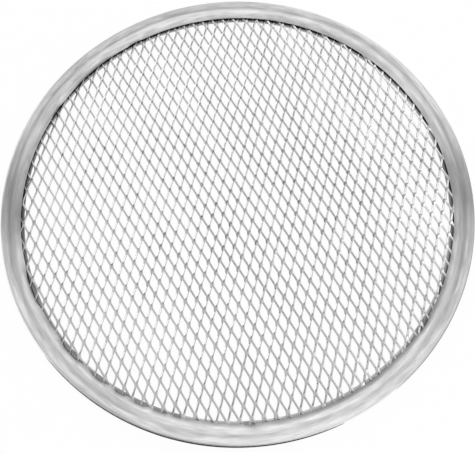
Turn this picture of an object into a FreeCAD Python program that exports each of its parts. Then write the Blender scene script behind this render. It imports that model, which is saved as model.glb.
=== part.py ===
import FreeCAD, Part
import math
import os

# Round baking screen: a disc of expanded aluminium mesh held in a rim folded from one strip of sheet.
# Millimetres, +Z up, origin at the centre of the underside, -Y towards the viewer.
# The mesh lies inside the rim's fold, between the bottom flange and the lip.

# Rim: the sheet, and the runs of its section from the outer fold inwards
rim_outer_radius = 152.5
rim_sheet_thickness = 0.8
outer_bead_to_valley = 3.2
valley_to_inner_bead = 3.4
inner_bead_to_foot = 2.8
lip_foot_width = 0.9
flange_past_lip = 1.4

# Rim: heights of the pressed beads, from the lip's foot outwards
inner_bead_above_lip = 1.9
valley_below_inner_bead = 0.5
outer_bead_above_valley = 0.9

# Mesh: pitches are the diagonals of a diamond, measured from crossing to crossing
short_pitch = 7.12
long_pitch = 14.98
strand_width = 1.4
strand_thickness = 1.0
strand_parting = 0.1
mesh_turn = 7.2
crossing_x = 0.84
crossing_y = -1.19

# Mesh margin that is pressed solid inside the fold
margin_start_behind_lip = 1.9
margin_width = 3.0

# Levels that follow from the thicknesses: the mesh fills the height between flange and lip
mesh_thickness = 2.0 * strand_thickness + strand_parting
mesh_bottom = rim_sheet_thickness
half_sheet = 0.5 * rim_sheet_thickness
lip_level = mesh_bottom + mesh_thickness + half_sheet
inner_bead_level = lip_level + inner_bead_above_lip
valley_level = inner_bead_level - valley_below_inner_bead
outer_bead_level = valley_level + outer_bead_above_valley
rim_height = outer_bead_level + half_sheet

# The outer fold is a half turn as high as the rim
fold_outer_radius = 0.5 * rim_height
fold_centre_radius = rim_outer_radius - fold_outer_radius
fold_middle_radius = fold_outer_radius - half_sheet

# Radii that follow from the runs
valley_radius = fold_centre_radius - outer_bead_to_valley
inner_bead_radius = valley_radius - valley_to_inner_bead
lip_foot_radius = inner_bead_radius - inner_bead_to_foot
lip_radius = lip_foot_radius - lip_foot_width
flange_radius = lip_radius - flange_past_lip
margin_inner_radius = lip_radius + margin_start_behind_lip
mesh_radius = margin_inner_radius + margin_width

# Directions of the two strand families, and the distance between strands of one family
strand_slope = math.degrees(math.atan2(long_pitch, short_pitch))
strand_spacing = short_pitch * long_pitch / math.hypot(short_pitch, long_pitch)
right_angle = 90.0
full_turn = 360.0
origin = FreeCAD.Vector(0.0, 0.0, 0.0)
upwards = FreeCAD.Vector(0.0, 0.0, 1.0)


def section_point(radius, height):
    """Point of the rim's section, which lies in the X-Z plane."""
    return FreeCAD.Vector(radius, 0.0, height)


def section_line(start, end):
    """Straight edge between two (radius, height) places of the section."""
    return Part.LineSegment(section_point(*start), section_point(*end)).toShape()


def section_arc(centre, radius, start_angle, end_angle):
    """Arc edge of the section about a (radius, height) centre, by angles in degrees."""
    points = []
    for angle in (start_angle, 0.5 * (start_angle + end_angle), end_angle):
        turn = math.radians(angle)
        points.append(section_point(centre[0] + radius * math.cos(turn), centre[1] + radius * math.sin(turn)))
    return Part.Arc(*points).toShape()


def level_change(start, end, offset):
    """Two equal arcs that lead from one level place to the next one inwards, on the skin at this offset."""
    run = start[0] - end[0]
    rise = end[1] - start[1]
    side = math.copysign(1.0, rise)
    bend = 2.0 * math.degrees(math.atan2(abs(rise), run))
    bend_radius = 0.5 * run / math.sin(math.radians(bend))
    first_centre = (start[0], start[1] + side * bend_radius)
    last_centre = (end[0], end[1] - side * bend_radius)
    level = side * right_angle
    return [
        section_arc(first_centre, bend_radius - side * offset, -level, -level - side * bend),
        section_arc(last_centre, bend_radius + side * offset, level - side * bend, level),
    ]


def rim_skin(offset):
    """One skin of the folded sheet, from the flange's free edge to the lip's, at an offset from its middle."""
    fold_centre = (fold_centre_radius, fold_outer_radius)
    outer_bead = (fold_centre_radius, outer_bead_level)
    valley = (valley_radius, valley_level)
    inner_bead = (inner_bead_radius, inner_bead_level)
    foot = (lip_foot_radius, lip_level)
    flange_height = half_sheet - offset
    edges = [
        section_line((flange_radius, flange_height), (fold_centre_radius, flange_height)),
        section_arc(fold_centre, fold_middle_radius + offset, -right_angle, right_angle),
    ]
    for start, end in ((outer_bead, valley), (valley, inner_bead), (inner_bead, foot)):
        edges += level_change(start, end, offset)
    edges.append(section_line((lip_foot_radius, lip_level + offset), (lip_radius, lip_level + offset)))
    return edges


def make_rim():
    """Folded rim: bottom flange, half-round outer fold, two beads with a valley, and the lip on the mesh."""
    flange_edge = section_line((flange_radius, 0.0), (flange_radius, rim_sheet_thickness))
    lip_edge = section_line((lip_radius, lip_level - half_sheet), (lip_radius, lip_level + half_sheet))
    edges = rim_skin(half_sheet) + [lip_edge] + rim_skin(-half_sheet) + [flange_edge]
    section = Part.Face(Part.Wire(Part.__sortEdges__(edges)))
    return section.revolve(origin, upwards, full_turn)


def flat_point(along, across):
    """Point of a strand layer before it is turned: strands run along X."""
    return FreeCAD.Vector(along, across, 0.0)


def circle_edge(radius):
    """Full circle about the centre of the mesh."""
    return Part.Circle(origin, upwards, radius).toShape()


def circle_arc(turns, radius):
    """Arc about the centre through three places, given by their angles in radians."""
    return Part.Arc(*[flat_point(radius * math.cos(turn), radius * math.sin(turn)) for turn in turns]).toShape()


def chord(level, radius):
    """Straight edge across a circle at this height."""
    reach = math.sqrt(radius * radius - level * level)
    return Part.LineSegment(flat_point(-reach, level), flat_point(reach, level)).toShape()


def slot_wire(low, high, radius):
    """Outline of the gap between two strands, from low to high, closed at both ends by the margin's circle."""
    first_turn = math.asin(low / radius)
    last_turn = math.asin(high / radius)
    turns = (first_turn, 0.5 * (first_turn + last_turn), last_turn)
    edges = [circle_arc(turns, radius), circle_arc([math.pi - turn for turn in turns], radius)]
    edges += [chord(level, radius) for level in (low, high) if abs(level) < radius]
    return Part.Wire(Part.__sortEdges__(edges))


def make_strand_layer(direction, bottom):
    """One family of parallel strands joined by the pressed margin, turned to its direction, at its level."""
    turn = math.radians(direction)
    first = crossing_y * math.cos(turn) - crossing_x * math.sin(turn)
    count = math.ceil(2.0 * margin_inner_radius / strand_spacing)
    wires = [Part.Wire(circle_edge(mesh_radius))]
    for step in range(-count, count):
        middle = first + step * strand_spacing
        low = max(middle + 0.5 * strand_width, -margin_inner_radius)
        high = min(middle + strand_spacing - 0.5 * strand_width, margin_inner_radius)
        if high - low > strand_width:
            wires.append(slot_wire(low, high, margin_inner_radius))
    layer = Part.makeFace(wires, "Part::FaceMakerBullseye").extrude(upwards * strand_thickness)
    layer.rotate(origin, upwards, direction)
    layer.translate(upwards * bottom)
    return layer


def make_mesh():
    """Expanded mesh: falling strands over rising ones, parted by a hair's breadth where they cross."""
    rising = make_strand_layer(mesh_turn + strand_slope, mesh_bottom)
    falling_bottom = mesh_bottom + strand_thickness + strand_parting
    falling = make_strand_layer(mesh_turn - strand_slope, falling_bottom)
    margin = Part.Face(Part.Wire(circle_edge(mesh_radius))).cut(Part.Face(Part.Wire(circle_edge(margin_inner_radius))))
    tie = margin.extrude(upwards * strand_parting)
    tie.translate(upwards * (mesh_bottom + strand_thickness))
    return rising.fuse([tie, falling]).removeSplitter()


def write_part(name, shape):
    """Writes one node and prints what it measures."""
    shape.exportStep(os.path.join("parts", name + ".step"))
    box = shape.BoundBox
    print(name, "solids", len(shape.Solids), "valid", shape.isValid(), "volume", round(shape.Volume, 1),
          "size", round(box.XLength, 2), round(box.YLength, 2), round(box.ZLength, 2))


os.makedirs("parts", exist_ok=True)
write_part("rim", make_rim())
write_part("mesh", make_mesh())
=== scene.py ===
"""Dresses the pizza screen: a folded and crimped aluminium rim round a disc of raised expanded metal.

Metres, +Z up, origin at the centre of the underside, -Y towards the viewer.
Azimuths are in degrees, from +X towards +Y.
"""
import logging
import math
from dataclasses import dataclass, field
from enum import Enum
from typing import Callable, Iterable, Optional

import bmesh
import bpy
from mathutils import Matrix, Vector


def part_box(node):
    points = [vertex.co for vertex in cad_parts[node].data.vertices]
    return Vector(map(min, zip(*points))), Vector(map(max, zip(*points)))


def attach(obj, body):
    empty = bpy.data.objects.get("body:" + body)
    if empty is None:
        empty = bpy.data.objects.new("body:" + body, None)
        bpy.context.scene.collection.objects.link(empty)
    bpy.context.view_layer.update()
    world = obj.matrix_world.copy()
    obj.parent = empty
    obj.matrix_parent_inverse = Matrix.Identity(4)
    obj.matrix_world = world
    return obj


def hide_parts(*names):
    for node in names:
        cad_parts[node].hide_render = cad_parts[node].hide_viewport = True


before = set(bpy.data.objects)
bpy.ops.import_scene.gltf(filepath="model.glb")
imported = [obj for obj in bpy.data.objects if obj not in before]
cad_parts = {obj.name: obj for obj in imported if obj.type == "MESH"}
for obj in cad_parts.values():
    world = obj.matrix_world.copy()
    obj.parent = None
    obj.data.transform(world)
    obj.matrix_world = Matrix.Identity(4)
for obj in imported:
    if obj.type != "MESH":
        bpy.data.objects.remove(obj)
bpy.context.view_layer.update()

log = logging.getLogger("pizza_screen")

BODY = "root"
# Painted shade: the inside of the fold and the flange under the lip are coloured dark grey
INSIDE_MARK = "inside_of_fold"
# Painted shade on the rim's colour: darker in the valley, on the lip, at the crimp marks and on the far
# side
PAINTED_SHADE_MARK = "painted_shade_of_rim"
BURNISHED_MARK = "burnished_fold"
SHEARED_MARK = "sheared_edge"
IMAGE_WIDTH = 475
SCATTER_RATES = (12.9898, 78.233)
SCATTER_SPREAD = 43758.5453
WHITE = (1.0, 1.0, 1.0, 1.0)

Place = tuple[float, float]
Point = tuple[float, float, float]
Station = tuple[list[int], bool, bool]

# Noise values at the darkest and lightest, or the smoothest and roughest, places of a finish
TONE_RANGE: Place = (0.36, 0.62)
GLOSS_RANGE: Place = (0.35, 0.65)
# The Mix node's colour sockets, which share their names with others
MIX_FIRST, MIX_LAST, MIX_RESULT = 6, 7, 2
# Sides of a strip's section, by the number of their first corner
HIGH_SIDE = (1, 2, 3)
LOW_SIDE = (5, 6, 7)
ROLLED_SIDES = (0, 4)
# Places near the end of the rim's outline where the flange's upper skin meets its free edge
FLANGE_EDGE_PLACES = (-3, -2)
# How far past the inner bead the mesh is trimmed, inside the fold
MESH_PAST_BEAD = 0.0005
# Points of a mesh that are closer than this are taken as one
NEAREST = 2e-6


def ease(value: float) -> float:
    """Smooth step from 0 to 1, flat at both ends, for a value that is clamped to that range."""
    share = min(max(value, 0.0), 1.0)
    return share * share * (3.0 - 2.0 * share)


def ease_rate(share: float) -> float:
    """Steepness of ease at a share between 0 and 1."""
    return 6.0 * share * (1.0 - share)


def ramp(value: float, steepness: float, shift: float) -> float:
    """Smooth step of a value that is first made steeper and shifted."""
    return ease(steepness * value + shift)


def mixed(low: float, high: float, share: float) -> float:
    """Value a share of the way from low to high."""
    return low + (high - low) * share


def scatter(first: int, last: int) -> float:
    """Fixed odd value between -1 and 1 for a pair of whole numbers."""
    spread = math.sin(first * SCATTER_RATES[0] + last * SCATTER_RATES[1]) * SCATTER_SPREAD
    return 2.0 * (spread - math.floor(spread)) - 1.0


def turned_from(azimuth: float, middle: float) -> float:
    """Angle in degrees from a middle azimuth to another, between -180 and 180."""
    return (azimuth - middle + 180.0) % 360.0 - 180.0


def heading(azimuth: float, elevation: float) -> Vector:
    """Direction of length 1 at an azimuth and an elevation in degrees."""
    turn, lift = math.radians(azimuth), math.radians(elevation)
    return Vector((math.cos(turn) * math.cos(lift), math.sin(turn) * math.cos(lift), math.sin(lift)))


def arc(centre: Place, radius: float, start: float, end: float, steps: int) -> list[Place]:
    """Places along an arc in the section plane.

    Args:
        centre: Middle of the arc as (radius, height).
        radius: The arc's own radius.
        start: First angle in degrees.
        end: Last angle in degrees.
        steps: Number of equal steps between the two.

    Returns:
        The places from start to end, both included.
    """
    places = []
    for step in range(steps + 1):
        angle = math.radians(mixed(start, end, step / steps))
        places.append((centre[0] + radius * math.cos(angle), centre[1] + radius * math.sin(angle)))
    return places


def new_object(data: bpy.types.ID) -> bpy.types.Object:
    """Links a mesh, lamp or camera into the scene.

    Args:
        data: What the object shows.

    Returns:
        The new object, which has the same name.
    """
    made = bpy.data.objects.new(data.name, data)
    bpy.context.scene.collection.objects.link(made)
    return made


class MeshBook:
    """Collects points and faces, and gives points at the same place one shared vertex."""

    def __init__(self) -> None:
        """Starts empty."""
        self.points: list[Point] = []
        self.faces: list[tuple[int, ...]] = []
        self.marks: list[float] = []
        self._known: dict[tuple[int, int, int], int] = {}

    def vertex(self, point: Vector) -> int:
        """Finds the vertex at a point, or makes it if there is none yet.

        Args:
            point: Where the vertex lies.

        Returns:
            The vertex's number.
        """
        key = tuple(round(value / NEAREST) for value in point)
        if key not in self._known:
            self._known[key] = len(self.points)
            self.points.append(tuple(point))
        return self._known[key]

    def face(self, corners: Iterable[int], mark: float = 0.0) -> None:
        """Adds a face, less the corners that fall together, if it still has an area.

        Args:
            corners: Numbers of its vertices, in order.
            mark: How far it is a sheared face, from 0 to 1.
        """
        kept: list[int] = []
        for corner in corners:
            if corner not in kept:
                kept.append(corner)
        if len(kept) > 2:
            self.faces.append(tuple(kept))
            self.marks.append(mark)

    def build(self, name: str, sharp_over: float) -> bpy.types.Mesh:
        """Makes the mesh with outward normals, smooth but for edges sharper than an angle.

        Args:
            name: Name of the new mesh.
            sharp_over: Angle in degrees between two faces above which their edge stays sharp.

        Returns:
            The new mesh.
        """
        mesh = bpy.data.meshes.new(name)
        mesh.from_pydata(self.points, [], self.faces)
        if self.marks:
            mesh.attributes.new(SHEARED_MARK, "FLOAT", "FACE").data.foreach_set("value", self.marks)
        turned = bmesh.new()
        turned.from_mesh(mesh)
        bmesh.ops.recalc_face_normals(turned, faces=turned.faces)
        turned.to_mesh(mesh)
        turned.free()
        mesh.shade_smooth()
        mesh.set_sharp_from_angle(angle=math.radians(sharp_over))
        mesh.validate()
        return mesh


class Effect(Enum):
    """Surface effects that the finishes share, by the name of their node group."""

    BRUSHED = "brushed_rings"
    CLOUDS = "handling_clouds"
    GRAIN = "rolled_grain"


class NodeBench:
    """Places and joins nodes in one node tree."""

    def __init__(self, tree: bpy.types.NodeTree) -> None:
        """Works on this tree."""
        self.tree = tree

    def node(self, kind: str, **settings: object) -> bpy.types.Node:
        """Adds a node.

        Args:
            kind: Blender's name for the kind of node.
            settings: The node's plain properties, by name.

        Returns:
            The new node.
        """
        made = self.tree.nodes.new(kind)
        for key, value in settings.items():
            setattr(made, key, value)
        return made

    def feed(self, source: object, target: bpy.types.NodeSocket) -> None:
        """Joins a socket to a target, or sets the target to a plain value.

        Args:
            source: The socket or value.
            target: The socket that takes it.
        """
        if isinstance(source, bpy.types.NodeSocket):
            self.tree.links.new(source, target)
        else:
            target.default_value = source

    def maths(self, operation: str, *values: object) -> bpy.types.NodeSocket:
        """Adds a maths node.

        Args:
            operation: Blender's name for the operation.
            values: Its sockets or plain values, in order.

        Returns:
            The result's socket.
        """
        made = self.node("ShaderNodeMath", operation=operation)
        for value, target in zip(values, made.inputs):
            self.feed(value, target)
        return made.outputs[0]

    def fading(self, distance: bpy.types.NodeSocket) -> bpy.types.NodeSocket:
        """1 at distance 0, fading out smoothly by about distance 2."""
        square = self.maths("MULTIPLY", distance, distance)
        return self.maths("EXPONENT", self.maths("MULTIPLY", square, -1.0))

    def noise(self, vector: bpy.types.NodeSocket, scale: object, detail: float) -> bpy.types.NodeSocket:
        """Adds a noise texture.

        Args:
            vector: Socket with the place on the surface.
            scale: Socket or plain value for how fine the noise is.
            detail: How many finer layers are added.

        Returns:
            Socket with the noise, between 0 and 1.
        """
        made = self.node("ShaderNodeTexNoise")
        self.feed(vector, made.inputs["Vector"])
        self.feed(scale, made.inputs["Scale"])
        self.feed(detail, made.inputs["Detail"])
        return made.outputs["Fac"]

    def ranged(self, value: object, bounds: Place,
               results: tuple[object, object]) -> bpy.types.NodeSocket:
        """Carries a value from one range to another, clamped.

        Args:
            value: Socket to carry over.
            bounds: First and last value that come in.
            results: What they become, as sockets or plain values.

        Returns:
            The result's socket.
        """
        made = self.node("ShaderNodeMapRange", clamp=True)
        for name, source in (("Value", value), ("From Min", bounds[0]), ("From Max", bounds[1]),
                             ("To Min", results[0]), ("To Max", results[1])):
            self.feed(source, made.inputs[name])
        return made.outputs["Result"]

    def colour_mix(self, share: object, first: object, last: object) -> bpy.types.NodeSocket:
        """Mixes two colours.

        Args:
            share: Socket with the last colour's share.
            first: Socket or plain colour at share 0.
            last: Socket or plain colour at share 1.

        Returns:
            The mixed colour's socket.
        """
        made = self.node("ShaderNodeMix", data_type="RGBA")
        self.feed(share, made.inputs["Factor"])
        self.feed(first, made.inputs[MIX_FIRST])
        self.feed(last, made.inputs[MIX_LAST])
        return made.outputs[MIX_RESULT]

    def grey_mix(self, share: object, low: float, high: float) -> bpy.types.NodeSocket:
        """Grey between two levels by a share."""
        return self.colour_mix(share, (low, low, low, 1.0), (high, high, high, 1.0))

    def weighted(self, *parts: tuple[bpy.types.NodeSocket, float]) -> bpy.types.NodeSocket:
        """Adds sockets up, each times its share.

        Args:
            parts: The sockets with their shares.

        Returns:
            The sum's socket.
        """
        products = [self.maths("MULTIPLY", source, share) for source, share in parts]
        total = products[0]
        for product in products[1:]:
            total = self.maths("ADD", total, product)
        return total

    def mark(self, name: str) -> bpy.types.NodeSocket:
        """Value of one of the pieces' own surface marks."""
        return self.node("ShaderNodeAttribute", attribute_name=name).outputs["Fac"]

    def bump(self, height: bpy.types.NodeSocket, distance: float) -> bpy.types.NodeSocket:
        """Adds a bump.

        Args:
            height: Socket with the height, from 0 to 1.
            distance: What height 1 is, in metres.

        Returns:
            The changed normal's socket.
        """
        made = self.node("ShaderNodeBump")
        made.inputs["Distance"].default_value = distance
        self.feed(height, made.inputs["Height"])
        return made.outputs["Normal"]


def new_material(name: str) -> tuple[bpy.types.Material, NodeBench, bpy.types.Node]:
    """Starts a material.

    Args:
        name: The material's name.

    Returns:
        The material, a bench for its nodes, and its Principled BSDF.
    """
    material = bpy.data.materials.new(name)
    material.use_nodes = True
    return material, NodeBench(material.node_tree), material.node_tree.nodes["Principled BSDF"]


def make_matt(shader: bpy.types.Node, grey: float) -> None:
    """Makes a shader plain matt grey.

    Args:
        shader: The Principled BSDF.
        grey: Its grey, from 0 to 1.
    """
    shader.inputs["Base Color"].default_value = (grey,) * 3 + (1.0,)
    shader.inputs["Roughness"].default_value = 1.0
    shader.inputs["Specular IOR Level"].default_value = 0.0


class EffectShelf:
    """Builds each shared effect once, and places it in materials."""

    def __init__(self) -> None:
        """Starts with no group built."""
        self._built: dict[Effect, bpy.types.NodeTree] = {}

    def _start(self, effect: Effect,
               inputs: dict[str, float]) -> tuple[NodeBench, bpy.types.Node, bpy.types.Node]:
        """Opens a new group with one output, named Value.

        Args:
            effect: The effect that the group makes.
            inputs: Its inputs' names, with their usual values.

        Returns:
            A bench for its nodes, and its input and output nodes.
        """
        tree = bpy.data.node_groups.new(effect.value, "ShaderNodeTree")
        for name, usual in inputs.items():
            made = tree.interface.new_socket(name, in_out="INPUT", socket_type="NodeSocketFloat")
            made.default_value = usual
        tree.interface.new_socket("Value", in_out="OUTPUT", socket_type="NodeSocketFloat")
        bench = NodeBench(tree)
        self._built[effect] = tree
        return bench, bench.node("NodeGroupInput"), bench.node("NodeGroupOutput")

    def _brushed(self) -> None:
        """Fine lines round the Z axis, each fading along its turn."""
        bench, given, out = self._start(Effect.BRUSHED, {"Lines": 2600.0, "Turns": 9.0})
        place = bench.node("ShaderNodeTexCoord").outputs["Object"]
        parts = bench.node("ShaderNodeSeparateXYZ")
        bench.feed(place, parts.inputs[0])
        x, y, z = parts.outputs
        square = bench.maths("ADD", bench.maths("MULTIPLY", x, x), bench.maths("MULTIPLY", y, y))
        radius = bench.maths("SQRT", square)
        across = bench.maths("MULTIPLY", bench.maths("SUBTRACT", radius, z), given.outputs["Lines"])
        joined = bench.node("ShaderNodeCombineXYZ")
        bench.feed(across, joined.inputs[0])
        for axis, value in ((1, x), (2, y)):
            along = bench.maths("MULTIPLY", bench.maths("DIVIDE", value, radius), given.outputs["Turns"])
            bench.feed(along, joined.inputs[axis])
        bench.feed(bench.noise(joined.outputs[0], scale=1.0, detail=3.0), out.inputs["Value"])

    def _clouds(self) -> None:
        """Broad soft patches left by handling and oxide."""
        bench, given, out = self._start(Effect.CLOUDS, {"Scale": 22.0})
        place = bench.node("ShaderNodeTexCoord").outputs["Object"]
        bench.feed(bench.noise(place, given.outputs["Scale"], detail=2.0), out.inputs["Value"])

    def _grain(self) -> None:
        """Fine even grain of rolled sheet."""
        bench, given, out = self._start(Effect.GRAIN, {"Scale": 1800.0})
        place = bench.node("ShaderNodeTexCoord").outputs["Object"]
        bench.feed(bench.noise(place, given.outputs["Scale"], detail=1.0), out.inputs["Value"])

    def place(self, bench: NodeBench, effect: Effect, **values: float) -> bpy.types.NodeSocket:
        """Puts an effect in a material with its own values.

        Args:
            bench: The material's bench.
            effect: Which effect.
            values: Levels for the group's inputs, by name.

        Returns:
            The group's output socket.
        """
        makers: dict[Effect, Callable[[], None]] = {
            Effect.BRUSHED: self._brushed, Effect.CLOUDS: self._clouds, Effect.GRAIN: self._grain}
        if effect not in self._built:
            makers[effect]()
        made = bench.node("ShaderNodeGroup", node_tree=self._built[effect])
        for name, value in values.items():
            made.inputs[name].default_value = value
        return made.outputs["Value"]


@dataclass(frozen=True)
class BrushedRimFinish:
    """Satin aluminium brushed round the rim, with soft marks of handling, and painted shade: darker in
    the valley, on the lip, at the crimp marks, on the far side and inside the fold.
    """

    name: str = "rim_sheet"
    dark: float = 0.68
    light: float = 0.96
    # Share of the brushed colour that is left where the painted shade is full
    painted_shade_share: float = 0.40
    low_roughness: float = 0.28
    high_roughness: float = 0.42
    burnished_roughness: float = 0.12
    anisotropy: float = 1.0
    across_the_lines: float = 0.25
    line_height: float = 0.00001
    line_share: float = 0.3
    band_share: float = 0.5
    cloud_share: float = 0.2
    # Painted shade: dark grey for the inside of the fold and the flange under the lip
    painted_inside_shade: float = 0.30
    painted_inside_shade_wander: float = 0.2
    unworked_roughness: float = 0.2

    def make(self, shelf: EffectShelf) -> bpy.types.Material:
        """Makes the material.

        Args:
            shelf: Where the shared effects are.

        Returns:
            The new material.
        """
        material, bench, shader = new_material(self.name)
        lines = shelf.place(bench, Effect.BRUSHED, Lines=1500.0, Turns=14.0)
        bands = shelf.place(bench, Effect.BRUSHED, Lines=420.0, Turns=5.0)
        clouds = shelf.place(bench, Effect.CLOUDS, Scale=60.0)
        painted_shade = bench.mark(PAINTED_SHADE_MARK)
        inside = bench.mark(INSIDE_MARK)
        burnished = bench.mark(BURNISHED_MARK)
        tone = bench.weighted((lines, self.line_share), (bands, self.band_share),
                              (clouds, self.cloud_share))
        share = bench.ranged(tone, TONE_RANGE, (0.0, 1.0))
        polished = bench.grey_mix(bench.maths("MAXIMUM", share, burnished), self.dark, self.light)
        # Painted shade: the same tone made darker, for the valley, lip, crimp marks and far side
        painted_shade_tone = bench.grey_mix(share, self.dark * self.painted_shade_share, self.light * self.painted_shade_share)
        outer = bench.colour_mix(painted_shade, polished, painted_shade_tone)
        # Painted shade inside the fold and on the flange under the lip
        inner = bench.grey_mix(clouds, (1.0 - self.painted_inside_shade_wander) * self.painted_inside_shade,
                               (1.0 + self.painted_inside_shade_wander) * self.painted_inside_shade)
        bench.feed(bench.colour_mix(inside, outer, inner), shader.inputs["Base Color"])
        brushed = bench.ranged(lines, GLOSS_RANGE, (self.high_roughness, self.low_roughness))
        outside = bench.ranged(burnished, (0.0, 1.0), (brushed, self.burnished_roughness))
        rough = bench.ranged(inside, (0.0, 1.0), (outside, self.unworked_roughness))
        bench.feed(rough, shader.inputs["Roughness"])
        bench.feed(bench.bump(lines, self.line_height), shader.inputs["Normal"])
        shader.inputs["Metallic"].default_value = 1.0
        shader.inputs["Anisotropic"].default_value = self.anisotropy
        shader.inputs["Anisotropic Rotation"].default_value = self.across_the_lines
        round_z = bench.node("ShaderNodeTangent", direction_type="RADIAL", axis="Z")
        bench.feed(round_z.outputs["Tangent"], shader.inputs["Tangent"])
        return material


@dataclass(frozen=True)
class DrawnMeshFinish:
    """Satin aluminium as slit and drawn, a little duller than the rim."""

    name: str = "mesh_strands"
    dark: float = 0.80
    light: float = 0.90
    sheared_share: float = 0.82
    low_roughness: float = 0.15
    high_roughness: float = 0.25
    sheared_roughness: float = 0.40
    grain_height: float = 0.00001
    grain_share: float = 0.5
    cloud_share: float = 0.5

    def make(self, shelf: EffectShelf) -> bpy.types.Material:
        """Makes the material.

        Args:
            shelf: Where the shared effects are.

        Returns:
            The new material.
        """
        material, bench, shader = new_material(self.name)
        grain = shelf.place(bench, Effect.GRAIN, Scale=1500.0)
        clouds = shelf.place(bench, Effect.CLOUDS, Scale=60.0)
        sheared = bench.mark(SHEARED_MARK)
        tone = bench.weighted((grain, self.grain_share), (clouds, self.cloud_share))
        share = bench.ranged(tone, TONE_RANGE, (0.0, 1.0))
        rolled = bench.grey_mix(share, self.dark, self.light)
        cut = bench.grey_mix(share, self.dark * self.sheared_share, self.light * self.sheared_share)
        bench.feed(bench.colour_mix(sheared, rolled, cut), shader.inputs["Base Color"])
        smooth = bench.ranged(clouds, GLOSS_RANGE, (self.low_roughness, self.high_roughness))
        rough = bench.ranged(sheared, (0.0, 1.0), (smooth, self.sheared_roughness))
        bench.feed(rough, shader.inputs["Roughness"])
        bench.feed(bench.bump(grain, self.grain_height), shader.inputs["Normal"])
        shader.inputs["Metallic"].default_value = 1.0
        return material


@dataclass(frozen=True)
class CrimpMark:
    """One place where the crimping tool pressed the slope and pushed the lip back."""

    azimuth: float
    half_length: float
    depth: float
    fade_end: float = 1.5

    def press(self, azimuth: float) -> float:
        """How far down the slope is pressed at an azimuth, in metres."""
        away = abs(turned_from(azimuth, self.azimuth)) / self.half_length
        return self.depth * ease(self.fade_end - away)

    def share(self, azimuth: float) -> float:
        """How much of the mark is felt at an azimuth, from 0 to 1."""
        return self.press(azimuth) / self.depth


@dataclass(frozen=True)
class Stretch:
    """A change that is strongest at one azimuth of the rim or mesh and fades out round it."""

    azimuth: float
    half_length: float
    change: float

    def share(self, azimuth: float) -> float:
        """How much of the change is left at an azimuth."""
        away = turned_from(azimuth, self.azimuth)
        return self.change * math.exp(-(away / self.half_length) ** 2)


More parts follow.
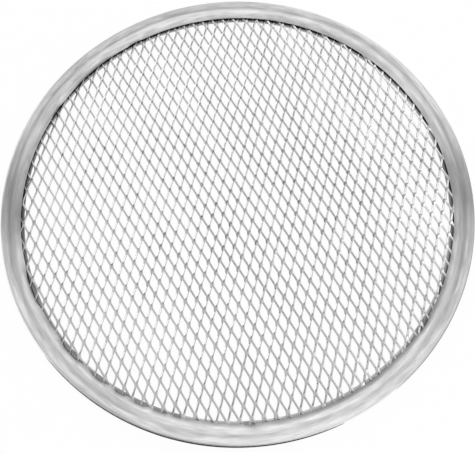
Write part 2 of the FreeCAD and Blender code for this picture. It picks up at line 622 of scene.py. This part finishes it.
@dataclass(frozen=True)
class RimSection:
    """Section of the folded sheet: flange, half-round fold, two beads with a valley, slope and lip."""

    outer_radius: float
    height: float
    sheet: float = 0.0008
    outer_bead_to_valley: float = 0.0032
    valley_to_inner_bead: float = 0.0034
    inner_bead_to_foot: float = 0.0028
    lip_foot_width: float = 0.0009
    flange_past_lip: float = 0.0014
    lip_level: float = 0.0033
    inner_bead_above_lip: float = 0.0019
    valley_below_inner_bead: float = 0.0005
    edge_radius: float = 0.00018
    # How much of the painted shade inside the fold reaches the lip's edge and the flange's end and edge
    lip_edge_mark: float = 0.3
    flange_end_mark: float = 0.45
    flange_edge_mark: float = 0.3
    burnished_from: float = 0.75
    slope_curve: float = 0.8
    fold_steps: int = 16
    bead_steps: int = 5
    slope_steps: int = 10

    @property
    def fold_radius(self) -> float:
        """Radius of the fold's middle line."""
        return 0.5 * (self.height - self.sheet)

    @property
    def fold_centre(self) -> Place:
        """Centre of the half-round fold."""
        return (self.outer_radius - 0.5 * self.height, 0.5 * self.height)

    @property
    def valley(self) -> Place:
        """Bottom of the valley between the beads."""
        return (self.fold_centre[0] - self.outer_bead_to_valley,
                self.lip_level + self.inner_bead_above_lip - self.valley_below_inner_bead)

    @property
    def inner_bead(self) -> Place:
        """Top of the inner bead."""
        return (self.valley[0] - self.valley_to_inner_bead, self.lip_level + self.inner_bead_above_lip)

    @property
    def foot(self) -> Place:
        """Where the slope reaches the lip."""
        return (self.inner_bead[0] - self.inner_bead_to_foot, self.lip_level)

    @property
    def lip_radius(self) -> float:
        """Radius of the lip's free edge."""
        return self.foot[0] - self.lip_foot_width

    @property
    def flange_radius(self) -> float:
        """Radius of the bottom flange's free edge."""
        return self.lip_radius - self.flange_past_lip

    def level_change(self, start: Place, end: Place, offset: float) -> list[Place]:
        """Two equal arcs that lead from one level place inwards to the next.

        Args:
            start: Outer place on the sheet's middle line.
            end: Inner place on the middle line.
            offset: Distance of the skin from the middle line, upwards.

        Returns:
            The places along the skin.
        """
        run = start[0] - end[0]
        rise = end[1] - start[1]
        side = math.copysign(1.0, rise)
        bend = 2.0 * math.degrees(math.atan2(abs(rise), run))
        radius = 0.5 * run / math.sin(math.radians(bend))
        level = side * 90.0
        first = arc((start[0], start[1] + side * radius), radius - side * offset,
                    -level, -level - side * bend, self.bead_steps)
        last = arc((end[0], end[1] - side * radius), radius + side * offset,
                   level - side * bend, level, self.bead_steps)
        return first + last[1:]

    def reach(self, radius: float) -> float:
        """How far in a radius lies, from 0 at the inner bead to 1 at the lip's edge."""
        return (self.inner_bead[0] - radius) / (self.inner_bead[0] - self.lip_radius)

    def slope_at(self, share: float) -> tuple[Place, Place]:
        """Follows the sheet's middle line from the inner bead to the lip's edge.

        Args:
            share: How far along it, from 0 to 1.

        Returns:
            The place there, and the upward normal.
        """
        run = self.inner_bead[0] - self.lip_radius - self.edge_radius
        reach = self.slope_curve * share
        drop = self.inner_bead_above_lip / ease(self.slope_curve)
        steepness = ease_rate(reach) * self.slope_curve * drop / run
        length = math.hypot(1.0, steepness)
        place = (self.inner_bead[0] - run * share, self.inner_bead[1] - drop * ease(reach))
        return place, (-steepness / length, 1.0 / length)

    def skin(self, offset: float) -> list[Place]:
        """Draws one skin of the sheet.

        Args:
            offset: Distance of the skin from the middle line, upwards in the lip.

        Returns:
            The places from near the flange's free edge to near the lip's.
        """
        rounding = self.edge_radius
        under = 0.5 * self.sheet - offset
        centre = self.fold_centre
        places = [(self.flange_radius + rounding, under), (self.foot[0], under)]
        places += arc(centre, self.fold_radius + offset, -90.0, 90.0, self.fold_steps)
        turns = ((centre[0], self.height - 0.5 * self.sheet), self.valley, self.inner_bead)
        for start, end in zip(turns, turns[1:]):
            places += self.level_change(start, end, offset)[1:]
        for step in range(1, self.slope_steps + 1):
            middle, up = self.slope_at(step / self.slope_steps)
            places.append((middle[0] + up[0] * offset, middle[1] + up[1] * offset))
        return places

    def outline(self) -> list[Place]:
        """Draws the whole sheet, with slightly rounded free edges.

        Returns:
            The places of its closed outline.
        """
        half = 0.5 * self.sheet
        rounding = self.edge_radius
        end, up = self.slope_at(1.0)
        lip = [(end[0] - up[1] * rounding + up[0] * side, end[1] + up[0] * rounding + up[1] * side)
               for side in (half - rounding, rounding - half)]
        flange = [(self.flange_radius, self.sheet - rounding), (self.flange_radius, rounding)]
        return self.skin(half) + lip + self.skin(-half)[::-1] + flange

    def inside_marks(self) -> list[float]:
        """Marks the inside of the fold, which is given a dark painted shade.

        Returns:
            How far each place of the outline lies in it, from 0 to 1.
        """
        count = len(self.skin(0.0))
        lip = [0.0, self.lip_edge_mark]
        flange = [self.flange_end_mark, self.flange_edge_mark, 0.0]
        return [0.0] * count + lip + [1.0] * (count - 1) + flange

    def burnished_marks(self) -> list[float]:
        """Marks what the folding rolls have smoothed, most on the outer fold.

        Returns:
            How smooth each place of the outline is, from 0 to 1.
        """
        low, high = self.burnished_from * self.height, self.height
        return [1.0 - ease((height - low) / (high - low)) if radius > self.fold_centre[0] else 0.0
                for radius, height in self.outline()]


@dataclass
class Rim:
    """The folded sheet rim with its crimp marks."""

    section: RimSection
    turn_steps: int = 720
    sharp_over: float = 50.0
    lip_shift: float = 0.0008
    lip_shift_azimuth: float = -45.0
    lip_inset: float = 0.0002
    bead_wave: float = 0.00008
    bead_wave_swing: float = 0.5
    # Size, number round the turn and start of each wave in the beads
    bead_waves: tuple[Point, ...] = ((1.0, 5.0, 0.7), (0.6, 11.0, 2.1), (0.4, 23.0, 0.0))
    # Painted shade on the rim's colour: in the valley, on the lip (lighter or darker by azimuth), at the
    # crimp marks and outwards of the valley on the far side
    valley_reach: float = 0.0014
    valley_painted_shade: float = 0.4
    lip_painted_shade: float = 0.50
    lip_painted_shade_stretches: tuple[Stretch, ...] = (
        Stretch(310.0, 42.0, 0.45), Stretch(224.0, 16.0, 0.25), Stretch(256.0, 16.0, 0.15),
        Stretch(36.0, 15.0, -0.55), Stretch(2.0, 14.0, -0.30), Stretch(183.0, 18.0, -0.30))
    lip_press: Stretch = Stretch(222.0, 55.0, 0.00035)
    lip_backs: tuple[Stretch, ...] = (Stretch(95.0, 45.0, 0.00035), Stretch(188.0, 28.0, 0.0011))
    flange_backs: tuple[Stretch, ...] = (Stretch(222.0, 45.0, 0.0003), Stretch(95.0, 50.0, -0.0004))
    # Painted shadow on the flange's edge in the gaps under the lip
    painted_shadow_gaps: tuple[Stretch, ...] = (Stretch(95.0, 50.0, 1.0), Stretch(190.0, 30.0, 1.0))
    far_side_painted_shade: Stretch = Stretch(105.0, 38.0, 0.44)
    mark_push: float = 2.2
    press_reach: float = 1.35
    # Steepness and shift of ramps over the reach from the inner bead to the lip's edge
    flange_ramp: Place = (3.0, -2.2)
    # The crimp marks' ramp spreads their painted shade over the slope
    mark_ramp: Place = (3.0, -1.8)
    marks: tuple[CrimpMark, ...] = (
        CrimpMark(119.0, 2.0, 0.0002), CrimpMark(133.0, 8.0, 0.0002), CrimpMark(150.0, 2.5, 0.0002),
        CrimpMark(203.0, 5.0, 0.0005), CrimpMark(222.5, 3.5, 0.0007), CrimpMark(232.0, 2.5, 0.0006),
        CrimpMark(238.5, 1.6, 0.0005), CrimpMark(244.0, 2.0, 0.0006), CrimpMark(249.0, 2.0, 0.0004),
        CrimpMark(253.5, 1.5, 0.0003), CrimpMark(271.0, 1.5, 0.0003), CrimpMark(321.5, 2.5, 0.0004))
    built: Optional[bpy.types.Object] = field(default=None, init=False)

    def worked(self, place: Place, azimuth: float) -> Place:
        """Moves a place of the section as crimping did: lip off round, slope pressed, beads wavy.

        Args:
            place: The place before crimping.
            azimuth: Where round the rim the section stands.

        Returns:
            The place after it.
        """
        radius, height = place
        section = self.section
        reach = section.reach(radius)
        if height <= section.sheet and reach > 0.0:
            back = sum(stretch.share(azimuth) for stretch in self.flange_backs)
            return (radius + back * ramp(reach, *self.flange_ramp), height)
        off_round = math.cos(math.radians(azimuth - self.lip_shift_azimuth))
        shift = off_round * self.lip_shift - self.lip_inset
        shift += sum(stretch.share(azimuth) for stretch in self.lip_backs)
        pressed = sum(mark.press(azimuth) for mark in self.marks)
        radius += (shift + self.mark_push * pressed) * ease(reach)
        if reach > 0.0:
            height -= self.lip_press.share(azimuth) * ease(reach)
            height -= pressed * math.sin(math.pi * min(reach * self.press_reach, 1.0)) ** 2
        elif height > section.sheet:
            turn = math.radians(azimuth)
            wave = sum(size * math.sin(rate * turn + start) for size, rate, start in self.bead_waves)
            top = ease((height - section.fold_centre[1]) / (section.height - section.fold_centre[1]))
            height -= self.bead_wave * top * (1.0 + self.bead_wave_swing * wave)
        return (radius, height)

    def inside_marks(self, azimuth: float) -> list[float]:
        """Paints shadow on the edge of the flange in the gaps under the lip and at crimp marks.

        Args:
            azimuth: Where round the rim the section stands.

        Returns:
            The section's inside marks there.
        """
        marks = self.section.inside_marks()
        dark = max(part.share(azimuth) for part in self.painted_shadow_gaps + self.marks)
        for index in FLANGE_EDGE_PLACES:
            marks[index] = mixed(marks[index], 1.0, dark)
        return marks

    def painted_shade_marks(self, outline: list[Place], azimuth: float) -> list[float]:
        """Marks painted shade: the valley, the lip and the crimp marks, lighter or darker round the rim,
        and all outwards of the valley on the far side.

        Args:
            outline: Places of the section.
            azimuth: Where round the rim the section stands.

        Returns:
            How much painted shade each place gets, from 0 to 1.
        """
        section = self.section
        pressed = max(mark.share(azimuth) for mark in self.marks)
        lip = self.lip_painted_shade + sum(stretch.share(azimuth) for stretch in self.lip_painted_shade_stretches)
        marks = []
        for radius, height in outline:
            if height < section.fold_centre[1]:
                marks.append(0.0)
                continue
            reach = section.reach(radius)
            past = (radius - section.valley[0]) / self.valley_reach
            valley = self.valley_painted_shade * math.exp(-past ** 2)
            valley = mixed(valley, 1.0, self.far_side_painted_shade.share(azimuth) * ease(past + 1.0))
            marks.append(max(valley, lip * ease(reach), pressed * ramp(reach, *self.mark_ramp)))
        return marks

    def build(self) -> None:
        """Sweeps the worked section round the Z axis."""
        outline = self.section.outline()
        count = len(outline)
        points: list[Point] = []
        for step in range(self.turn_steps):
            azimuth = 360.0 * step / self.turn_steps
            turn = math.radians(azimuth)
            for place in outline:
                radius, height = self.worked(place, azimuth)
                points.append((radius * math.cos(turn), radius * math.sin(turn), height))
        book = MeshBook()
        book.points = points
        for step in range(self.turn_steps):
            here = step * count
            there = (step + 1) % self.turn_steps * count
            for index in range(count):
                following = (index + 1) % count
                book.faces.append((here + index, here + following, there + following, there + index))
        mesh = book.build("rim_folded_sheet", self.sharp_over)
        painted_shades: list[float] = []
        insides: list[float] = []
        for step in range(self.turn_steps):
            azimuth = 360.0 * step / self.turn_steps
            painted_shades += self.painted_shade_marks(outline, azimuth)
            insides += self.inside_marks(azimuth)
        burnished = self.section.burnished_marks() * self.turn_steps
        for name, marks in ((INSIDE_MARK, insides), (PAINTED_SHADE_MARK, painted_shades), (BURNISHED_MARK, burnished)):
            mesh.attributes.new(name, "FLOAT", "POINT").data.foreach_set("value", marks)
        self.built = new_object(mesh)

    def dress(self, material: bpy.types.Material) -> None:
        """Gives the rim its finish and its place in the frame.

        Args:
            material: The rim's finish.
        """
        self.built.data.materials.append(material)
        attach(self.built, BODY)
        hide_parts("rim")
        log.info("rim: %d faces", len(self.built.data.polygons))


@dataclass
class ExpandedMesh:
    """Raised expanded metal: strips of one sheet, slit and drawn open, still joined at the bonds."""

    bottom: float
    top: float
    trim_radius: float
    short_pitch: float = 0.00712
    long_pitch: float = 0.01498
    turn: float = 7.2
    crossing: Place = (0.00084, -0.00119)
    strand_width: float = 0.00137
    tilt: float = 27.0
    tilt_wander: float = 8.0
    # Long waves of the tilt, in radians per metre, and the shares of all that changes the tilt
    wave_rate: float = 110.0
    wave_slant: float = 0.5
    cross_rate: float = 0.7
    cross_start: float = 1.3
    wave_share: float = 0.35
    strand_share: float = 0.25
    bond_share: float = 0.15
    # From this radius outwards the strands are pressed flatter, most at one side
    flat_from: float = 0.131
    flattening: Stretch = Stretch(165.0, 95.0, 0.85)
    bond_length: float = 0.0020
    chamfer: float = 0.00016
    strand_steps: int = 4
    sharp_over: float = 65.0
    built: Optional[bpy.types.Object] = field(default=None, init=False)

    @property
    def sheet(self) -> float:
        """Sheet thickness that lets the steepest bonds fill the height between bottom and top."""
        tilt = math.radians(self.tilt + self.tilt_wander)
        return (self.top - self.bottom - 2.0 * self.strand_width * math.sin(tilt)) / math.cos(tilt)

    def bond_tilt(self, column: int, row: int) -> float:
        """Finds how far the drawing has tilted a bond: unevenly, in long waves, by strand and by bond.

        Args:
            column: Number of the bond along the short pitch.
            row: Number of the bond along the long pitch.

        Returns:
            The tilt in radians.
        """
        x = column * 0.5 * self.short_pitch
        y = row * 0.5 * self.long_pitch
        slanted = math.sin(self.wave_rate * (x + self.wave_slant * y))
        crossing = math.sin(self.wave_rate * self.cross_rate * y + self.cross_start)
        share = (self.wave_share * 0.5 * (slanted + crossing)
                 + self.strand_share * (scatter(column - row, 1) + scatter(column + row, 2))
                 + self.bond_share * scatter(column, row))
        place = self.placed(Vector((x, y, 0.0)))
        near_rim = ease((place.xy.length - self.flat_from) / (self.trim_radius - self.flat_from))
        pressed = self.flattening.share(math.degrees(math.atan2(place.y, place.x))) * near_rim
        return math.radians((self.tilt + self.tilt_wander * share) * (1.0 - pressed))

    def bond_half(self, column: int, row: int, upper: bool) -> tuple[Vector, Vector]:
        """Middle of one strip's half of a bond, and the direction across the strip there.

        Args:
            column: Number of the bond along the short pitch.
            row: Number of the bond along the long pitch.
            upper: True for the half that is lifted, which belongs to the strip with the higher numbers.

        Returns:
            The middle of the half, and the direction across it.
        """
        tilt = self.bond_tilt(column, row)
        across = Vector((math.cos(tilt), 0.0, math.sin(tilt)))
        level = 0.5 * (self.bottom + self.top)
        bond = Vector((column * 0.5 * self.short_pitch, row * 0.5 * self.long_pitch, level))
        return bond + across * (0.5 * self.strand_width * (1.0 if upper else -1.0)), across

    def frame_of(self, column: int, row: int, step: int) -> tuple[Vector, Vector, Vector, bool, bool]:
        """Middle and directions of one strip at one station.

        Args:
            column: Number of the strip, counted along the short pitch.
            row: Number of the half period along the long pitch.
            step: Station within the half period, from 0 to strand_steps.

        Returns:
            Middle, direction across, normal, and whether the strip is joined there on its low side
            and on its high side.
        """
        starts_high = (row - column) % 2 == 1
        start, start_across = self.bond_half(column + int(starts_high), row, not starts_high)
        end, end_across = self.bond_half(column + int(not starts_high), row + 1, starts_high)
        half_bond = Vector((0.0, 0.5 * self.bond_length, 0.0))
        start += half_bond
        end -= half_bond
        share = step / self.strand_steps
        middle = start.lerp(end, share)
        across = start_across.lerp(end_across, share)
        at_end = step in (0, self.strand_steps)
        lengthwise = Vector((0.0, 1.0, 0.0)) if at_end else (end - start).normalized()
        width = (across - lengthwise * across.dot(lengthwise)).normalized()
        normal = width.cross(lengthwise)
        if normal.z < 0.0:
            normal = -normal
        joined_high = at_end and starts_high == (step == 0)
        return middle, width, normal, at_end and not joined_high, joined_high

    def ring(self, column: int, row: int, step: int) -> list[Vector]:
        """Draws the section of one strip at one station.

        Args:
            column: Number of the strip, counted along the short pitch.
            row: Number of the half period along the long pitch.
            step: Station within the half period, from 0 to strand_steps.

        Returns:
            The section's eight corners, in the lattice's own directions.
        """
        middle, width, normal, at_low, at_high = self.frame_of(column, row, step)
        reach = 0.5 * self.strand_width
        rise = 0.5 * self.sheet
        low = 0.0 if at_low else self.chamfer
        high = 0.0 if at_high else self.chamfer
        corners = ((low - reach, rise), (reach - high, rise),
                   (reach, rise - high), (reach, high - rise),
                   (reach - high, -rise), (low - reach, -rise),
                   (-reach, low - rise), (-reach, rise - low))
        return [middle + width * across + normal * up for across, up in corners]

    def placed(self, point: Vector) -> Vector:
        """Turns and moves a point of the lattice to its place in the screen.

        Args:
            point: The point in the lattice's own directions.

        Returns:
            The point in the screen.
        """
        turn = math.radians(self.turn)
        x = self.crossing[0] + point.x * math.cos(turn) - point.y * math.sin(turn)
        y = self.crossing[1] + point.x * math.sin(turn) + point.y * math.cos(turn)
        return Vector((x, y, point.z))

    def build(self) -> None:
        """Builds every strip inside the trimming circle, with its cut ends closed."""
        book = MeshBook()
        columns = math.ceil(2.0 * self.trim_radius / self.short_pitch) + 1
        rows = math.ceil(2.0 * self.trim_radius / self.long_pitch) + 1
        for column in range(-columns, columns):
            run: list[Station] = []
            for row in range(-rows, rows):
                for step in range(self.strand_steps + 1):
                    middle, _, _, at_low, at_high = self.frame_of(column, row, step)
                    if self.placed(middle).xy.length > self.trim_radius:
                        self.close_run(book, run)
                        run = []
                        continue
                    corners = [book.vertex(self.placed(point)) for point in self.ring(column, row, step)]
                    run.append((corners, at_low, at_high))
            self.close_run(book, run)
        mesh = book.build("mesh_expanded_metal", self.sharp_over)
        self.built = new_object(mesh)
        weighted = self.built.modifiers.new("flat_faces", "WEIGHTED_NORMAL")
        weighted.keep_sharp = True

    @staticmethod
    def close_run(book: MeshBook, run: list[Station]) -> None:
        """Skins one stretch of a strip and closes its ends, but leaves out sides joined to a neighbour.

        Args:
            book: Where the faces go.
            run: Stations of the stretch, in order.
        """
        if len(run) < 2:
            return
        for (first, first_low, first_high), (last, last_low, last_high) in zip(run, run[1:]):
            for index in range(len(first)):
                if index in HIGH_SIDE and first_high and last_high:
                    continue
                if index in LOW_SIDE and first_low and last_low:
                    continue
                following = (index + 1) % len(first)
                sheared = 0.0 if index in ROLLED_SIDES else 1.0
                book.face((first[index], first[following], last[following], last[index]), sheared)
        book.face(run[0][0], 1.0)
        book.face(run[-1][0], 1.0)

    def dress(self, material: bpy.types.Material) -> None:
        """Gives the mesh its finish and its place in the frame.

        Args:
            material: The mesh's finish.
        """
        self.built.data.materials.append(material)
        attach(self.built, BODY)
        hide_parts("mesh")
        triangles = sum(len(face.vertices) - 2 for face in self.built.data.polygons)
        log.info("mesh: %d faces, %d triangles", len(self.built.data.polygons), triangles)


@dataclass(frozen=True)
class SoftLamp:
    """A square soft lamp, aimed at the screen."""

    name: str
    azimuth: float
    elevation: float
    distance: float
    width: float
    depth: float
    radiance: float

    def place(self) -> None:
        """Makes the lamp and aims it at the origin."""
        data = bpy.data.lights.new(self.name, "AREA")
        data.shape = "RECTANGLE"
        data.size = self.width
        data.size_y = self.depth
        data.energy = self.radiance * math.pi * self.width * self.depth
        lamp = new_object(data)
        away = heading(self.azimuth, self.elevation)
        lamp.location = away * self.distance
        lamp.rotation_mode = "QUATERNION"
        lamp.rotation_quaternion = (-away).to_track_quat("-Z", "Y")


@dataclass(frozen=True)
class RoomPatch:
    """A brighter or darker part of the room, which fades out round its middle direction."""

    azimuth: float
    elevation: float
    width: float
    change: float

    def share(self, bench: NodeBench, direction: bpy.types.NodeSocket) -> bpy.types.NodeSocket:
        """Finds how much of the patch lies in a direction.

        Args:
            bench: Bench of the world's nodes.
            direction: Socket with the direction, of length 1.

        Returns:
            Socket with the share, from 0 to 1.
        """
        away = bench.node("ShaderNodeVectorMath", operation="DISTANCE")
        bench.feed(direction, away.inputs[0])
        away.inputs[1].default_value = heading(self.azimuth, self.elevation)
        return bench.fading(bench.maths("DIVIDE", away.outputs["Value"], self.width))


@dataclass(frozen=True)
class ReflectedShadowCard:
    """A grey card on the floor beside the screen, seen only where the rim's fold mirrors it: a painted
    shadow of the floor next to the rim, which blocks no light.
    """

    name: str
    start: float
    end: float
    grey: float
    inner_radius: float = 0.1527
    width: float = 0.06
    level: float = 0.0002
    taper: float = 0.02
    steps: int = 48

    def place(self) -> None:
        """Makes the card, which only the rim's reflections show."""
        points: list[Point] = []
        for step in range(self.steps + 1):
            share = step / self.steps
            turn = math.radians(mixed(self.start, self.end, share))
            width = self.width * math.sin(math.pi * mixed(self.taper, 1.0 - self.taper, share))
            for radius in (self.inner_radius, self.inner_radius + width):
                points.append((radius * math.cos(turn), radius * math.sin(turn), self.level))
        mesh = bpy.data.meshes.new(self.name)
        faces = [(corner, corner + 2, corner + 3, corner + 1) for corner in range(0, 2 * self.steps, 2)]
        mesh.from_pydata(points, [], faces)
        card = new_object(mesh)
        card.visible_camera = False
        card.visible_diffuse = False
        card.visible_shadow = False
        # The card's grey is the painted shadow that the fold mirrors
        material, _, felt = new_material(self.name)
        make_matt(felt, self.grey)
        mesh.materials.append(material)


@dataclass
class Studio:
    """Pale floor, soft panels with a gap between them, and a room with brighter and darker parts."""

    floor_half: float = 3.0
    floor_level: float = -0.00005
    floor_white: float = 0.98
    floor_glow: float = 1.012
    shadow_share: float = 0.10
    # The room's own light, and the darker gap between the panels, by the direction's Y
    room_grey: float = 0.72
    gap_at: float = 0.33
    gap_width: float = 0.10
    gap_depth: float = 0.42
    patches: tuple[RoomPatch, ...] = (
        RoomPatch(194.0, 49.0, 0.43, -0.30),
        RoomPatch(187.0, 43.0, 0.16, 0.12),
        RoomPatch(150.0, 30.0, 0.15, -0.50),
        RoomPatch(252.0, 8.0, 0.42, -0.66),
        RoomPatch(179.0, 60.0, 0.20, 0.25),
        RoomPatch(222.0, 58.0, 0.25, -0.36),
        RoomPatch(163.0, 23.0, 0.22, -0.22),
        RoomPatch(146.0, 13.0, 0.30, 0.95),
        RoomPatch(120.0, 15.0, 0.28, -0.72),
        RoomPatch(176.0, 4.0, 0.20, 0.35),
        RoomPatch(149.0, 67.5, 0.08, 2.20),
        RoomPatch(110.0, 23.0, 0.12, 0.80),
        RoomPatch(82.0, 20.0, 0.18, 0.30),
        RoomPatch(-10.0, 4.0, 0.35, 0.35))
    # Painted shadow on the floor next to the rim, seen only in the fold's reflection
    reflected_shadow_cards: tuple[ReflectedShadowCard, ...] = (
        ReflectedShadowCard("near_reflected_shadow", 218.5, 292.0, 0.02),
        ReflectedShadowCard("side_reflected_shadow", 306.0, 380.0, 0.40))
    lamps: tuple[SoftLamp, ...] = (
        SoftLamp("far_panel", 84.0, 44.0, 1.4, 1.7, 1.0, 0.50),
        SoftLamp("near_panel", 276.0, 66.0, 1.4, 1.7, 2.0, 0.50))

    @staticmethod
    def shown(bench: NodeBench) -> bpy.types.NodeSocket:
        """Tells rays from the camera, a mirror surface or glass from all others.

        Args:
            bench: Bench of the material that asks.

        Returns:
            Socket that is 1 for such rays and 0 for others.
        """
        path = bench.node("ShaderNodeLightPath")
        first = bench.maths("MAXIMUM", path.outputs["Is Camera Ray"], path.outputs["Is Glossy Ray"])
        return bench.maths("MAXIMUM", first, path.outputs["Is Transmission Ray"])

    def floor(self) -> None:
        """Makes the floor, white to the camera but for the shadow of the screen."""
        half = self.floor_half
        mesh = bpy.data.meshes.new("studio_floor")
        sides = ((-half, -half), (half, -half), (half, half), (-half, half))
        mesh.from_pydata([(x, y, self.floor_level) for x, y in sides], [], [(0, 1, 2, 3)])
        floor = new_object(mesh)
        material, bench, paper = new_material("floor_paper")
        make_matt(paper, self.floor_white)
        glow = bench.node("ShaderNodeEmission")
        glow.inputs["Strength"].default_value = self.floor_glow
        blend = bench.node("ShaderNodeMixShader")
        share = bench.maths("MULTIPLY", self.shown(bench), 1.0 - self.shadow_share)
        bench.feed(share, blend.inputs["Fac"])
        bench.feed(paper.outputs["BSDF"], blend.inputs[1])
        bench.feed(glow.outputs["Emission"], blend.inputs[2])
        output = material.node_tree.nodes["Material Output"]
        bench.feed(blend.outputs["Shader"], output.inputs["Surface"])
        mesh.materials.append(material)

    def room(self, bench: NodeBench) -> bpy.types.NodeSocket:
        """Works out how bright the room is by direction.

        Args:
            bench: Bench of the world's nodes.

        Returns:
            Socket with the strength of the room's light.
        """
        direction = bench.node("ShaderNodeTexCoord").outputs["Generated"]
        parts = bench.node("ShaderNodeSeparateXYZ")
        bench.feed(direction, parts.inputs[0])
        off_gap = bench.maths("SUBTRACT", parts.outputs[1], self.gap_at)
        gap = bench.fading(bench.maths("DIVIDE", off_gap, self.gap_width))
        gap = bench.maths("MULTIPLY", gap, self.gap_depth)
        strength = bench.maths("SUBTRACT", self.room_grey, gap)
        for patch in self.patches:
            change = bench.maths("MULTIPLY", patch.share(bench, direction), patch.change)
            strength = bench.maths("ADD", strength, change)
        return bench.maths("MAXIMUM", strength, 0.0)

    def world(self) -> None:
        """White to the camera, and a soft-lit room to everything else."""
        world = bpy.data.worlds.new("studio_world")
        world.use_nodes = True
        bpy.context.scene.world = world
        bench = NodeBench(world.node_tree)
        nodes = world.node_tree.nodes
        room = nodes["Background"]
        room.inputs["Color"].default_value = WHITE
        bench.feed(self.room(bench), room.inputs["Strength"])
        white = bench.node("ShaderNodeBackground")
        white.inputs["Color"].default_value = WHITE
        blend = bench.node("ShaderNodeMixShader")
        path = bench.node("ShaderNodeLightPath")
        bench.feed(path.outputs["Is Camera Ray"], blend.inputs["Fac"])
        bench.feed(room.outputs["Background"], blend.inputs[1])
        bench.feed(white.outputs["Background"], blend.inputs[2])
        bench.feed(blend.outputs["Shader"], nodes["World Output"].inputs["Surface"])

    def build(self) -> None:
        """Builds floor, world, cards and lamps."""
        self.floor()
        self.world()
        for shadow_card in self.reflected_shadow_cards:
            shadow_card.place()
        for lamp in self.lamps:
            lamp.place()
        log.info("studio: %d lamps", len(self.lamps))


@dataclass(frozen=True)
class PhotoCamera:
    """Camera at the photograph's viewpoint."""

    elevation: float = 71.285
    roll: float = -2.378
    distance: float = 0.40297
    target: Point = (0.0, -0.019135, 0.003)
    focal_pixels: float = 631.43
    sensor_width: float = 36.0
    clip: Place = (0.01, 20.0)

    def place(self) -> None:
        """Makes the camera and makes it the scene's own."""
        data = bpy.data.cameras.new("photo_camera")
        data.sensor_fit = "HORIZONTAL"
        data.sensor_width = self.sensor_width
        data.lens = self.focal_pixels / IMAGE_WIDTH * self.sensor_width
        data.clip_start, data.clip_end = self.clip
        camera = new_object(data)
        pitch = Matrix.Rotation(math.radians(90.0 - self.elevation), 4, "X")
        turned = pitch @ Matrix.Rotation(math.radians(self.roll), 4, "Z")
        back = pitch @ Vector((0.0, 0.0, self.distance))
        camera.matrix_world = Matrix.Translation(Vector(self.target) + back) @ turned
        bpy.context.scene.camera = camera


def main() -> None:
    """Builds the studio, the rim and the mesh."""
    logging.basicConfig(level=logging.INFO, format="%(name)s %(message)s")
    bpy.context.scene.view_settings.view_transform = "Standard"
    PhotoCamera().place()
    Studio().build()
    shelf = EffectShelf()

    rim_low, rim_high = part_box("rim")
    mesh_low, mesh_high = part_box("mesh")
    reach = min(-rim_low.x, rim_high.x, -rim_low.y, rim_high.y)
    section = RimSection(outer_radius=reach, height=rim_high.z)
    rim = Rim(section)
    rim.build()
    rim.dress(BrushedRimFinish().make(shelf))

    trim_radius = section.inner_bead[0] + MESH_PAST_BEAD
    mesh = ExpandedMesh(bottom=mesh_low.z, top=mesh_high.z, trim_radius=trim_radius)
    mesh.build()
    mesh.dress(DrawnMeshFinish().make(shelf))


if __name__ == "__main__":
    main()
